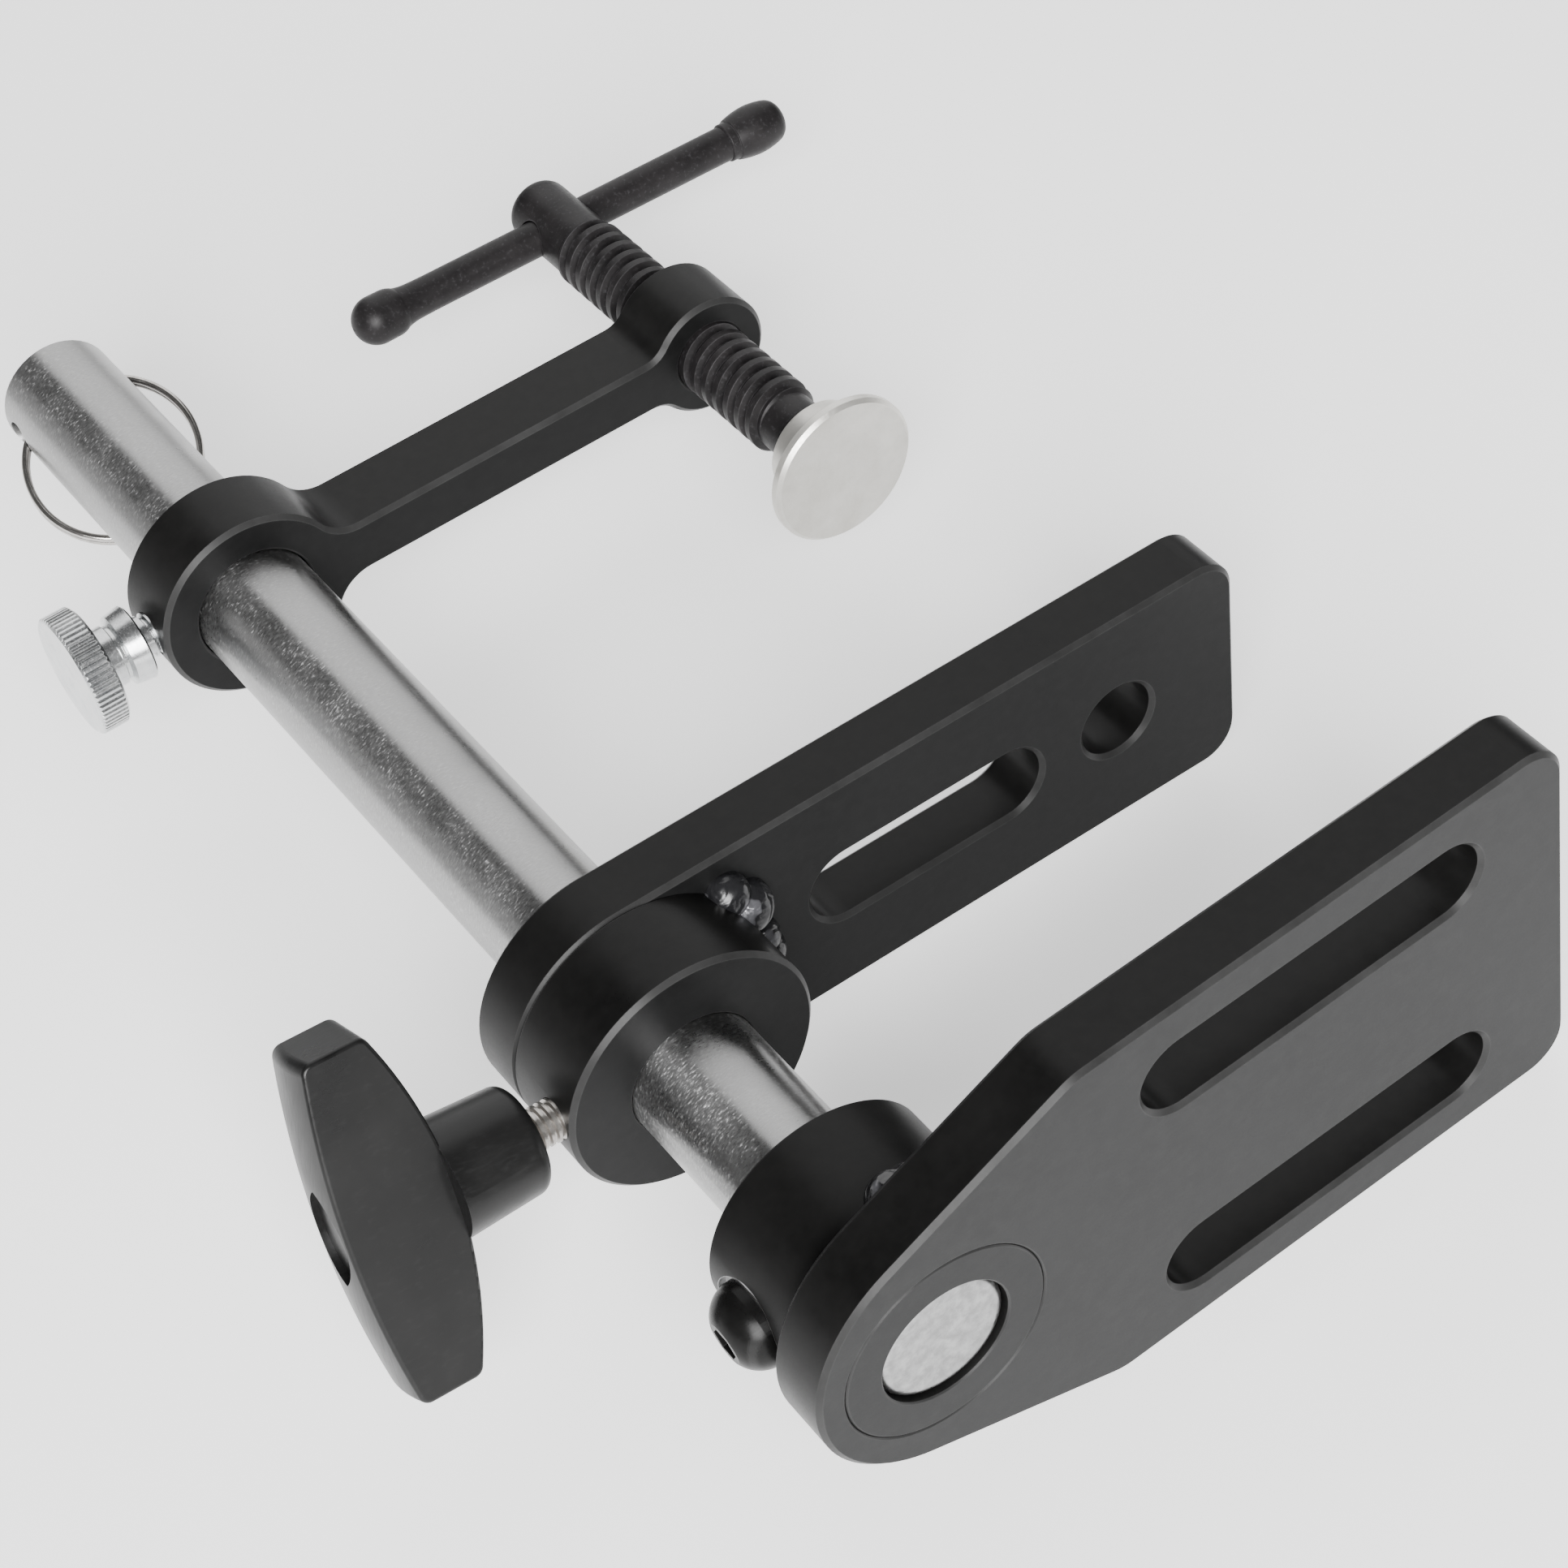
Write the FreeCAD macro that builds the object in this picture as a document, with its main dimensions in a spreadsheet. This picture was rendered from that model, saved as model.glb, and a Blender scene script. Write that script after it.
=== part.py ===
import FreeCAD, Part
import math
import os
import Sketcher

# Super clamp with jaw plates and a sliding screw arm, in millimetres.
# The rod lies along X, the jaws reach out along +Y and their widths run along
# Z. The origin is the centre of the rod's end face, inside the end jaw.

V = FreeCAD.Vector
doc = FreeCAD.newDocument("super_clamp")
sheet = doc.addObject("Spreadsheet::Sheet", "dims")
sheet_row = [0]


class Dim:
    """A length that knows both its number and the sheet expression behind it."""

    def __init__(self, text, value):
        self.text = text
        self.value = float(value)

    def combine(self, other, sign, result):
        return Dim("(%s %s %s)" % (self.text, sign, as_dim(other).text), result)

    def __add__(self, other):
        return self.combine(other, "+", self.value + as_dim(other).value)

    def __sub__(self, other):
        return self.combine(other, "-", self.value - as_dim(other).value)

    def __mul__(self, other):
        return self.combine(other, "*", self.value * as_dim(other).value)

    def __truediv__(self, other):
        return self.combine(other, "/", self.value / as_dim(other).value)

    def __neg__(self):
        return Dim("(0 - %s)" % self.text, -self.value)


def as_dim(number):
    return number if isinstance(number, Dim) else Dim("%.6g" % number, number)


def dim(name, value, note):
    """Write one driving dimension into the sheet and hand back its Dim."""
    sheet_row[0] += 1
    row = sheet_row[0]
    sheet.set("A%d" % row, name)
    sheet.set("B%d" % row, "%.6g" % value)
    sheet.set("C%d" % row, note)
    sheet.setAlias("B%d" % row, name)
    return Dim("dims.%s" % name, value)


# ---------------------------------------------------------------- dimensions
rod_radius = dim("rod_radius", 12.7, "one inch steel rod")
rod_near_x = dim("rod_near_x", 0, "rod end, just below the plate face")
rod_far_x = dim("rod_far_x", -316.1, "far end of the rod")
rod_chamfer = dim("rod_chamfer", 1.2, "chamfer on the far rod end")
rod_end_round = dim("rod_end_round", 1.9, "rounded edge of the near rod end")
ring_hole_x = dim("ring_hole_x", -309.7, "cross hole for the split ring")
ring_hole_radius = dim("ring_hole_radius", 3.75, "cross hole radius")
ring_hole_turn = dim("ring_hole_turn", 5.3, "cross hole direction from +Y, degrees")

plate_face_x = dim("plate_face_x", 0.9, "outer face of the end jaw")
plate_thick = dim("plate_thick", 12.7, "half inch jaw plate")
edge_chamfer = dim("edge_chamfer", 0.9, "chamfer on plate edges and slots")
slot_radius = dim("slot_radius", 8, "half the width of slots, five eighths stud")
spigot_radius = dim("spigot_radius", 20, "collar spigot through the plate")
spigot_gap = dim("spigot_gap", 0.13, "gap round the spigot")

end_half_width = dim("end_half_width", 42.7, "end jaw half width")
end_reach = dim("end_reach", 134.5, "end jaw reach from the rod axis")
end_nose_radius = dim("end_nose_radius", 29, "end jaw nose radius")
end_nose_centre = dim("end_nose_centre", 3.6, "nose centre beyond the rod axis")
end_taper_y = dim("end_taper_y", 31.9, "where the tapers meet the straight sides")
end_taper_blend = dim("end_taper_blend", 12, "blend radius at the taper corners")
end_corner_radius = dim("end_corner_radius", 8.5, "outer corner radius")
end_slot_near_y = dim("end_slot_near_y", 52.1, "near slot end centre")
end_slot_far_y = dim("end_slot_far_y", 108.1, "far slot end centre")
end_slot_z = dim("end_slot_z", 25.7, "slot centre line from the middle")

end_collar_radius = dim("end_collar_radius", 22.2, "end collar, 1.75 inch")
end_collar_back_x = dim("end_collar_back_x", -35.1, "rear face of the end collar")
fixed_bore_radius = dim("fixed_bore_radius", 12.72, "bore that is locked on the rod")
lock_screw_x = dim("lock_screw_x", -23.8, "button head screw position along the rod")
lock_screw_turn = dim("lock_screw_turn", 2.4, "screw direction below -Y, degrees")
lock_seat = dim("lock_seat", 20.4, "spot face height from the rod axis")
lock_seat_radius = dim("lock_seat_radius", 9.1, "spot face radius")
lock_shank_radius = dim("lock_shank_radius", 4.76, "three eighths shank")
lock_shank_in = dim("lock_shank_in", 4.5, "inner end of the shank")
lock_head_radius = dim("lock_head_radius", 8.1, "button head radius")
lock_head_side = dim("lock_head_side", 1.9, "washer and straight side of the head")
lock_head_height = dim("lock_head_height", 7.1, "washer and button head together")
lock_head_flat = dim("lock_head_flat", 4.05, "flat round the socket, radius")
lock_socket_radius = dim("lock_socket_radius", 3.21, "hex socket corner radius")
lock_socket_depth = dim("lock_socket_depth", 3.0, "hex socket depth")

middle_face_x = dim("middle_face_x", -90.2, "front face of the middle plate")
middle_half_width = dim("middle_half_width", 25.4, "middle plate, two inches wide")
middle_reach = dim("middle_reach", 137, "middle plate reach from the rod axis")
middle_corner_radius = dim("middle_corner_radius", 8, "outer corner radius")
middle_slot_near_y = dim("middle_slot_near_y", 46.5, "near slot end centre")
middle_slot_far_y = dim("middle_slot_far_y", 82.8, "far slot end centre")
middle_hole_y = dim("middle_hole_y", 108.9, "round hole centre")
middle_collar_radius = dim("middle_collar_radius", 25.4, "middle collar, two inches")
middle_collar_front_x = dim("middle_collar_front_x", -72, "front face of the collar")
middle_turn = dim("middle_turn", -4.0, "middle jaw turned about the rod, degrees")
sliding_bore_radius = dim("sliding_bore_radius", 12.78, "running fit on the rod")
bore_break = dim("bore_break", 0.3, "edge break at bore mouths")

knob_x = dim("knob_x", -77.6, "knob axis along the rod")
knob_turn = dim("knob_turn", -9, "knob direction above -Y, degrees")
stud_radius = dim("stud_radius", 4.0, "five sixteenths stud")
stud_pitch = dim("stud_pitch", 1.411, "eighteen threads per inch")
stud_thread_depth = dim("stud_thread_depth", 0.55, "depth of the stud thread")
stud_end = dim("stud_end", 15.3, "inner end of the stud from the rod axis")
stud_out = dim("stud_out", 47.5, "outer end of the stud inside the grip")
tip_gap = dim("tip_gap", 0.3, "tips stand this far off the rod")
tip_pin_radius = dim("tip_pin_radius", 1.5, "pin of the nylon tips")
hub_radius = dim("hub_radius", 10.3, "knob hub radius at its inner end")
hub_root_radius = dim("hub_root_radius", 11.1, "hub radius at the wing")
hub_start = dim("hub_start", 31.4, "hub inner end from the rod axis")
hub_end = dim("hub_end", 48.8, "hub joins the wing here")
wing_half_length = dim("wing_half_length", 33.6, "half the wing's length")
wing_half_thick = dim("wing_half_thick", 6.6, "half the wing's thickness")
wing_inner_mid = dim("wing_inner_mid", 47.9, "inner edge of the wing at the middle")
wing_inner_end = dim("wing_inner_end", 54.6, "inner edge of the wing at its ends")
wing_outer_mid = dim("wing_outer_mid", 70.1, "outer edge of the wing at the middle")
wing_outer_end = dim("wing_outer_end", 67.0, "outer edge of the wing at its ends")
wing_corner_radius = dim("wing_corner_radius", 2.2, "corners at the wing's ends")
wing_rounding = dim("wing_rounding", 0.8, "rounding along the wing's edges")
hub_rounding = dim("hub_rounding", 2.6, "rounding of the hub's inner edge")
wing_tilt = dim("wing_tilt", 24.1, "wing turned about the knob axis, degrees")
crown_radius = dim("crown_radius", 30, "crown across the wing's outer face")
dish_half_length = dim("dish_half_length", 9.4, "lens recess, half its length")
dish_half_width = dim("dish_half_width", 5.5, "lens recess, half its width")
dish_depth = dim("dish_depth", 1.7, "floor of the recess below the crown")

arm_face_x = dim("arm_face_x", -227.5, "front face of the screw arm")
arm_thick = dim("arm_thick", 17, "arm thickness along the rod")
arm_ring_radius = dim("arm_ring_radius", 20.7, "ring round the rod")
arm_bore_radius = dim("arm_bore_radius", 13.05, "loose bore on the rod")
arm_half_height = dim("arm_half_height", 6.05, "half the bar's height")
arm_boss_y = dim("arm_boss_y", 110.5, "spindle axis from the rod axis")
arm_boss_radius = dim("arm_boss_radius", 13.5, "boss round the spindle")
arm_boss_bore = dim("arm_boss_bore", 8.08, "boss bore over the thread crests")
arm_chamfer = dim("arm_chamfer", 0.95, "chamfer on the arm's outline")
arm_ring_blend = dim("arm_ring_blend", 9, "blend from ring to bar")
arm_boss_blend = dim("arm_boss_blend", 6, "blend from bar to boss")
arm_turn = dim("arm_turn", -3.1, "arm turned about the rod, degrees")

thumb_x = dim("thumb_x", -235.4, "thumb screw axis along the rod")
thumb_radius = dim("thumb_radius", 4.75, "three eighths thread")
thumb_pitch = dim("thumb_pitch", 1.588, "sixteen threads per inch")
thumb_flange_in = dim("thumb_flange_in", 23.5, "flange face toward the ring")
thumb_flange_out = dim("thumb_flange_out", 27.6, "flange outer end")
thumb_flange_radius = dim("thumb_flange_radius", 8.1, "flange radius")
thumb_neck_radius = dim("thumb_neck_radius", 6.4, "neck under the head")
thumb_head_in = dim("thumb_head_in", 32.5, "knurled head inner face")
thumb_head_out = dim("thumb_head_out", 38.8, "knurled head outer face")
thumb_head_radius = dim("thumb_head_radius", 12.9, "knurled head radius")
knurl_depth = dim("knurl_depth", 0.45, "depth of the knurl grooves")
knurl_count = 66

spindle_head_radius = dim("spindle_head_radius", 7.3, "drilled head radius")
spindle_head_x = dim("spindle_head_x", -296.9, "rear end of the spindle")
spindle_dome = dim("spindle_dome", 3, "rounding of the rear end")
spindle_thread_back_x = dim("spindle_thread_back_x", -274.6, "thread starts here")
spindle_thread_front_x = dim("spindle_thread_front_x", -200, "thread ends here")
spindle_thread_radius = dim("spindle_thread_radius", 8, "thread crest radius")
spindle_pitch = dim("spindle_pitch", 4, "four millimetre pitch")
thread_depth = dim("thread_depth", 1.5, "depth of the spindle thread")
spindle_neck_radius = dim("spindle_neck_radius", 6.6, "neck before the pad")
spindle_neck_x = dim("spindle_neck_x", -191.6, "front end of the neck")
spindle_waist_radius = dim("spindle_waist_radius", 3.7, "waist behind the ball")
ball_radius = dim("ball_radius", 4.8, "ball inside the pad")
ball_x = dim("ball_x", -186, "ball centre")
bar_hole_radius = dim("bar_hole_radius", 4.35, "cross hole for the tommy bar")
bar_x = dim("bar_x", -286.5, "tommy bar position along the rod")
bar_turn = dim("bar_turn", -1.2, "tommy bar direction in the arm, degrees")
bar_radius = dim("bar_radius", 4.0, "tommy bar radius")
bar_ball_radius = dim("bar_ball_radius", 5.45, "upset end of the tommy bar")
bar_ball_at = dim("bar_ball_at", -47.2, "dome centre from the spindle axis")
cap_start = dim("cap_start", 44, "cap's thin end from the spindle axis")
cap_step = dim("cap_step", 46, "step of the cap")
cap_wide_at = dim("cap_wide_at", 51.5, "where the cap is widest")
cap_edge_at = dim("cap_edge_at", 56.6, "where the cap's end rounds over")
cap_end = dim("cap_end", 58.9, "outer end of the cap")
cap_lip_radius = dim("cap_lip_radius", 4.4, "thin lip of the cap")
cap_step_radius = dim("cap_step_radius", 4.8, "cap radius at the step")
cap_radius = dim("cap_radius", 5.66, "widest part of the cap")
cap_edge_radius = dim("cap_edge_radius", 4.95, "cap radius where it rounds over")
cap_flat_radius = dim("cap_flat_radius", 2.6, "flat outer end of the cap")

pad_face_x = dim("pad_face_x", -179.4, "pressing face of the pad")
pad_rim_x = dim("pad_rim_x", -182.1, "rear side of the pad's rim")
pad_radius = dim("pad_radius", 16.45, "pad radius")
pad_hub_x = dim("pad_hub_x", -190.6, "mouth of the pad hub")
pad_hub_mouth = dim("pad_hub_mouth", 10.6, "hub radius at its mouth")
pad_hub_root = dim("pad_hub_root", 12.6, "hub radius at the rim")
pad_socket_radius = dim("pad_socket_radius", 5.15, "socket for the ball")
pad_mouth_radius = dim("pad_mouth_radius", 5.1, "mouth the ball goes in through")
snap_x = dim("snap_x", -189.05, "snap ring centre plane")
snap_wire_radius = dim("snap_wire_radius", 0.6, "snap ring wire radius")
snap_ring_radius = dim("snap_ring_radius", 4.9, "snap ring mean radius")
snap_groove_radius = dim("snap_groove_radius", 5.8, "groove for the snap ring")
snap_groove_half = dim("snap_groove_half", 1.0, "half the groove's width")

split_wire_radius = dim("split_wire_radius", 0.8, "wire of the split ring")
split_ring_radius = dim("split_ring_radius", 18.4, "mean radius of the split ring")
split_ring_tilt = dim("split_ring_tilt", -25.2, "hang of the ring, degrees")
doc.recompute()


# ------------------------------------------------------------ sketch helpers
def new_body(name, placement=None):
    body = doc.addObject("PartDesign::Body", name)
    body.Label = name
    if placement is not None:
        body.Placement = placement
    return body


def plane_of(body, plane):
    for feature in body.Origin.OriginFeatures:
        if feature.Role == plane:
            return feature
    raise ValueError(plane)


def new_sketch(body, plane, lift=None, turn=None, shift=None):
    """Sketch on an origin plane: lifted along its normal, turned about X or
    shifted along its own horizontal axis."""
    sketch = body.newObject("Sketcher::SketchObject", body.Label + "_sketch")
    sketch.AttachmentSupport = [(plane_of(body, plane), "")]
    sketch.MapMode = "FlatFace"
    spin = FreeCAD.Rotation(V(1, 0, 0), turn.value if turn is not None else 0)
    base = V(
        shift.value if shift is not None else 0,
        0,
        lift.value if lift is not None else 0,
    )
    sketch.AttachmentOffset = FreeCAD.Placement(base, spin)
    if turn is not None:
        sketch.setExpression("AttachmentOffset.Rotation.Angle", turn.text)
    elif lift is not None:
        sketch.setExpression("AttachmentOffset.Base.z", lift.text)
    elif shift is not None:
        sketch.setExpression("AttachmentOffset.Base.x", shift.text)
    return sketch


def hold(sketch, kind, geo, pos, value):
    """Pin one coordinate of a point, by expression, or put it on the axis."""
    value = as_dim(value)
    if abs(value.value) < 1e-9:
        axis = -2 if kind == "DistanceX" else -1
        sketch.addConstraint(Sketcher.Constraint("PointOnObject", geo, pos, axis))
        return
    index = sketch.addConstraint(
        Sketcher.Constraint(kind, -1, 1, geo, pos, value.value)
    )
    sketch.setExpression("Constraints[%d]" % index, value.text)


def size_arc(sketch, geo, radius):
    radius = as_dim(radius)
    index = sketch.addConstraint(Sketcher.Constraint("Radius", geo, radius.value))
    sketch.setExpression("Constraints[%d]" % index, radius.text)


def circle(sketch, x, y, radius):
    x, y, radius = as_dim(x), as_dim(y), as_dim(radius)
    geo = sketch.addGeometry(
        Part.Circle(V(x.value, y.value, 0), V(0, 0, 1), radius.value), False
    )
    size_arc(sketch, geo, radius)
    if abs(x.value) < 1e-9 and abs(y.value) < 1e-9:
        sketch.addConstraint(Sketcher.Constraint("Coincident", geo, 3, -1, 1))
        return
    hold(sketch, "DistanceX", geo, 3, x)
    hold(sketch, "DistanceY", geo, 3, y)


def arc_between(start, end, radius, side):
    """Minor arc from start to end; side +1 bulges to the left of travel."""
    chord = end - start
    rise = math.sqrt(max(radius * radius - chord.Length**2 / 4, 0))
    left = V(-chord.y, chord.x, 0).normalize()
    centre = (start + end) * 0.5 - left * rise * side
    first, last = (end, start) if side > 0 else (start, end)
    begin = math.atan2(first.y - centre.y, first.x - centre.x)
    finish = math.atan2(last.y - centre.y, last.x - centre.x)
    if finish < begin:
        finish += 2 * math.pi
    return Part.ArcOfCircle(Part.Circle(centre, V(0, 0, 1), radius), begin, finish)


def outline(sketch, points):
    """Closed outline. Each entry is (x, y) or (x, y, arc radius, side): the
    arc runs from that point to the next one. The points are all held."""
    dims = [(as_dim(p[0]), as_dim(p[1])) for p in points]
    spots = [V(x.value, y.value, 0) for x, y in dims]
    count = len(points)
    first = sketch.GeometryCount
    ends = []
    for i, point in enumerate(points):
        start, end = spots[i], spots[(i + 1) % count]
        if len(point) > 2:
            radius = as_dim(point[2])
            curve = arc_between(start, end, radius.value, point[3])
            geo = sketch.addGeometry(curve, False)
            made = sketch.Geometry[geo]
            flipped = (made.StartPoint - start).Length > 1e-6
            ends.append((2, 1) if flipped else (1, 2))
            size_arc(sketch, geo, radius)
        else:
            sketch.addGeometry(Part.LineSegment(start, end), False)
            ends.append((1, 2))
    for i in range(count):
        after = (i + 1) % count
        sketch.addConstraint(
            Sketcher.Constraint(
                "Coincident", first + i, ends[i][1], first + after, ends[after][0]
            )
        )
        hold(sketch, "DistanceX", first + i, ends[i][0], dims[i][0])
        hold(sketch, "DistanceY", first + i, ends[i][0], dims[i][1])


def slot(sketch, near, far, height, radius):
    """Slot along the sketch's x direction between two end centres."""
    x1, x2, y, r = near.value, far.value, as_dim(height).value, radius.value
    quarter = math.pi / 2
    ring = Part.Circle(V(x1, y, 0), V(0, 0, 1), r)
    g1 = sketch.addGeometry(Part.ArcOfCircle(ring, quarter, 3 * quarter), False)
    ring = Part.Circle(V(x2, y, 0), V(0, 0, 1), r)
    g2 = sketch.addGeometry(Part.ArcOfCircle(ring, -quarter, quarter), False)
    g3 = sketch.addGeometry(Part.LineSegment(V(x1, y + r, 0), V(x2, y + r, 0)), False)
    g4 = sketch.addGeometry(Part.LineSegment(V(x1, y - r, 0), V(x2, y - r, 0)), False)
    for a, pa, b, pb in ((g1, 1, g3, 1), (g3, 2, g2, 2), (g1, 2, g4, 1), (g4, 2, g2, 1)):
        sketch.addConstraint(Sketcher.Constraint("Tangent", a, pa, b, pb))
    sketch.addConstraint(Sketcher.Constraint("Equal", g1, g2))
    sketch.addConstraint(Sketcher.Constraint("Horizontal", g3))
    size_arc(sketch, g1, radius)
    hold(sketch, "DistanceX", g1, 3, near)
    hold(sketch, "DistanceY", g1, 3, height)
    hold(sketch, "DistanceX", g2, 3, far)


# ----------------------------------------------------------- feature helpers
def pad(body, sketch, length, back=False, both=False):
    feature = body.newObject("PartDesign::Pad", body.Label + "_pad")
    feature.Profile = sketch
    feature.Length = as_dim(length).value
    feature.setExpression("Length", as_dim(length).text)
    feature.Reversed = back
    feature.Midplane = both
    sketch.Visibility = False
    doc.recompute()
    return feature


def cut(body, sketch, length, back=False, both=False):
    """Pocket that must take some metal away."""
    before = body.Shape.Volume
    feature = body.newObject("PartDesign::Pocket", body.Label + "_pocket")
    feature.Profile = sketch
    feature.Length = as_dim(length).value
    feature.setExpression("Length", as_dim(length).text)
    feature.Reversed = back
    feature.Midplane = both
    sketch.Visibility = False
    doc.recompute()
    if body.Shape.Volume > before - 0.05:
        raise RuntimeError("%s: a pocket cut nothing" % body.Label)
    return feature


def turned(body, points, plane="XY_Plane"):
    """Revolve a closed outline about the sketch's horizontal axis."""
    sketch = new_sketch(body, plane)
    outline(sketch, points)
    feature = body.newObject("PartDesign::Revolution", body.Label + "_turned")
    feature.Profile = sketch
    feature.ReferenceAxis = (sketch, ["H_Axis"])
    feature.Angle = 360
    sketch.Visibility = False
    doc.recompute()
    return feature


def thread(body, points, pitch, height, back=False):
    """Helical groove swept about the body's X axis."""
    before = body.Shape.Volume
    sketch = new_sketch(body, "XY_Plane")
    outline(sketch, points)
    feature = body.newObject("PartDesign::SubtractiveHelix", body.Label + "_thread")
    feature.Profile = sketch
    feature.ReferenceAxis = (sketch, ["H_Axis"])
    feature.Mode = 0
    feature.Pitch = pitch.value
    feature.Height = as_dim(height).value
    feature.setExpression("Pitch", pitch.text)
    feature.setExpression("Height", as_dim(height).text)
    feature.Reversed = back
    sketch.Visibility = False
    doc.recompute()
    if body.Shape.Volume > before - 5:
        raise RuntimeError("%s: the thread cut nothing" % body.Label)
    return feature


def edges_where(shape, test):
    return ["Edge%d" % (i + 1) for i, edge in enumerate(shape.Edges) if test(edge)]


def middle_of(edge):
    return edge.valueAt((edge.FirstParameter + edge.LastParameter) / 2)


def dress(body, kind, test, size):
    """Fillet or Chamfer every edge of the body that passes the test."""
    base = body.Tip
    names = edges_where(base.Shape, test)
    if not names:
        raise RuntimeError("%s: no edge to dress" % body.Label)
    feature = body.newObject("PartDesign::" + kind, body.Label + "_" + kind.lower())
    feature.Base = (base, names)
    field = "Radius" if kind == "Fillet" else "Size"
    setattr(feature, field, size.value)
    feature.setExpression(field, size.text)
    doc.recompute()
    return feature


def in_plane_x(edge, x, slack=0.01):
    """True when the whole edge lies in the plane at this x."""
    return all(abs(v.Point.x - x) < slack for v in edge.Vertexes) and (
        abs(middle_of(edge).x - x) < slack
    )


def along_x(edge, y, z, slack=0.3):
    """True for a straight edge parallel to X that passes near (y, z)."""
    if len(edge.Vertexes) < 2:
        return False
    a, b = edge.Vertexes[0].Point, edge.Vertexes[1].Point
    if abs(a.x - b.x) < 1 or abs(a.y - b.y) > 0.01 or abs(a.z - b.z) > 0.01:
        return False
    return abs(a.y - y) < slack and abs(a.z - z) < slack


def about_x(degrees):
    return FreeCAD.Placement(V(0, 0, 0), FreeCAD.Rotation(V(1, 0, 0), degrees))


def outward(x, degrees, spin=0):
    """Local +X becomes the radial direction that starts at -Y and is turned
    about the rod by the given degrees; spin turns the piece about itself."""
    turn = FreeCAD.Rotation(V(1, 0, 0), degrees)
    swing = FreeCAD.Rotation(V(0, 0, 1), -90)
    own = FreeCAD.Rotation(V(1, 0, 0), spin)
    return FreeCAD.Placement(V(x.value, 0, 0), turn.multiply(swing).multiply(own))


# ------------------------------------------------------------------- the rod
rod = new_body("rod")
turned(
    rod,
    [
        (rod_far_x, 0),
        (rod_far_x, rod_radius - rod_chamfer),
        (rod_far_x + rod_chamfer, rod_radius),
        (rod_near_x - rod_end_round, rod_radius, rod_end_round, 1),
        (rod_near_x, rod_radius - rod_end_round),
        (rod_near_x, 0),
    ],
)
# cross hole for the split ring, right through
hole = new_sketch(rod, "XZ_Plane", turn=ring_hole_turn)
circle(hole, ring_hole_x, 0, ring_hole_radius)
cut(rod, hole, rod_radius * 4, both=True)
# blind hole for the lock screw
hole = new_sketch(rod, "XZ_Plane", turn=lock_screw_turn)
circle(hole, lock_screw_x, 0, lock_shank_radius + 0.06)
cut(rod, hole, rod_radius * 2, back=True)

# -------------------------------------------------------------- the end jaw
end_plate = new_body("end_jaw_plate")
plate_back_x = plate_face_x - plate_thick
shape = new_sketch(end_plate, "YZ_Plane", lift=plate_face_x)
# nose arc, two tapers, two straight sides and the outer end
nose_angle = math.radians(112)
nose_y = end_nose_centre.value + end_nose_radius.value * math.cos(nose_angle)
nose_z = end_nose_radius.value * math.sin(nose_angle)
ring = Part.Circle(V(end_nose_centre.value, 0, 0), V(0, 0, 1), end_nose_radius.value)
nose = shape.addGeometry(
    Part.ArcOfCircle(ring, nose_angle, 2 * math.pi - nose_angle), False
)
corners = [
    V(nose_y, nose_z, 0),
    V(end_taper_y.value, end_half_width.value, 0),
    V(end_reach.value, end_half_width.value, 0),
    V(end_reach.value, -end_half_width.value, 0),
    V(end_taper_y.value, -end_half_width.value, 0),
    V(nose_y, -nose_z, 0),
]
sides = [
    shape.addGeometry(Part.LineSegment(corners[i], corners[i + 1]), False)
    for i in range(5)
]
for i in range(4):
    shape.addConstraint(Sketcher.Constraint("Coincident", sides[i], 2, sides[i + 1], 1))
shape.addConstraint(Sketcher.Constraint("Tangent", nose, 1, sides[0], 1))
shape.addConstraint(Sketcher.Constraint("Tangent", nose, 2, sides[4], 2))
size_arc(shape, nose, end_nose_radius)
hold(shape, "DistanceX", nose, 3, end_nose_centre)
hold(shape, "DistanceY", nose, 3, 0)
hold(shape, "DistanceX", sides[1], 1, end_taper_y)
hold(shape, "DistanceY", sides[1], 1, end_half_width)
hold(shape, "DistanceX", sides[2], 1, end_reach)
hold(shape, "DistanceY", sides[2], 1, end_half_width)
hold(shape, "DistanceX", sides[3], 1, end_reach)
hold(shape, "DistanceY", sides[3], 1, -end_half_width)
hold(shape, "DistanceX", sides[4], 1, end_taper_y)
hold(shape, "DistanceY", sides[4], 1, -end_half_width)
pad(end_plate, shape, plate_thick, back=True)
W = end_half_width.value
dress(
    end_plate,
    "Fillet",
    lambda e: along_x(e, end_reach.value, W) or along_x(e, end_reach.value, -W),
    end_corner_radius,
)
dress(
    end_plate,
    "Fillet",
    lambda e: along_x(e, end_taper_y.value, W) or along_x(e, end_taper_y.value, -W),
    end_taper_blend,
)
for height in (end_slot_z, -end_slot_z):
    shape = new_sketch(end_plate, "YZ_Plane", lift=plate_face_x)
    slot(shape, end_slot_near_y, end_slot_far_y, height, slot_radius)
    cut(end_plate, shape, plate_thick * 1.2)
dress(
    end_plate,
    "Chamfer",
    lambda e: in_plane_x(e, plate_face_x.value) or in_plane_x(e, plate_back_x.value),
    edge_chamfer,
)
shape = new_sketch(end_plate, "YZ_Plane", lift=plate_face_x)
circle(shape, 0, 0, spigot_radius + spigot_gap)
cut(end_plate, shape, plate_thick * 1.2)


def spigot_mouth(edge):
    at = middle_of(edge)
    off = math.hypot(at.y, at.z) - (spigot_radius + spigot_gap).value
    return in_plane_x(edge, plate_face_x.value) and abs(off) < 0.05


dress(end_plate, "Chamfer", spigot_mouth, bore_break)

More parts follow.
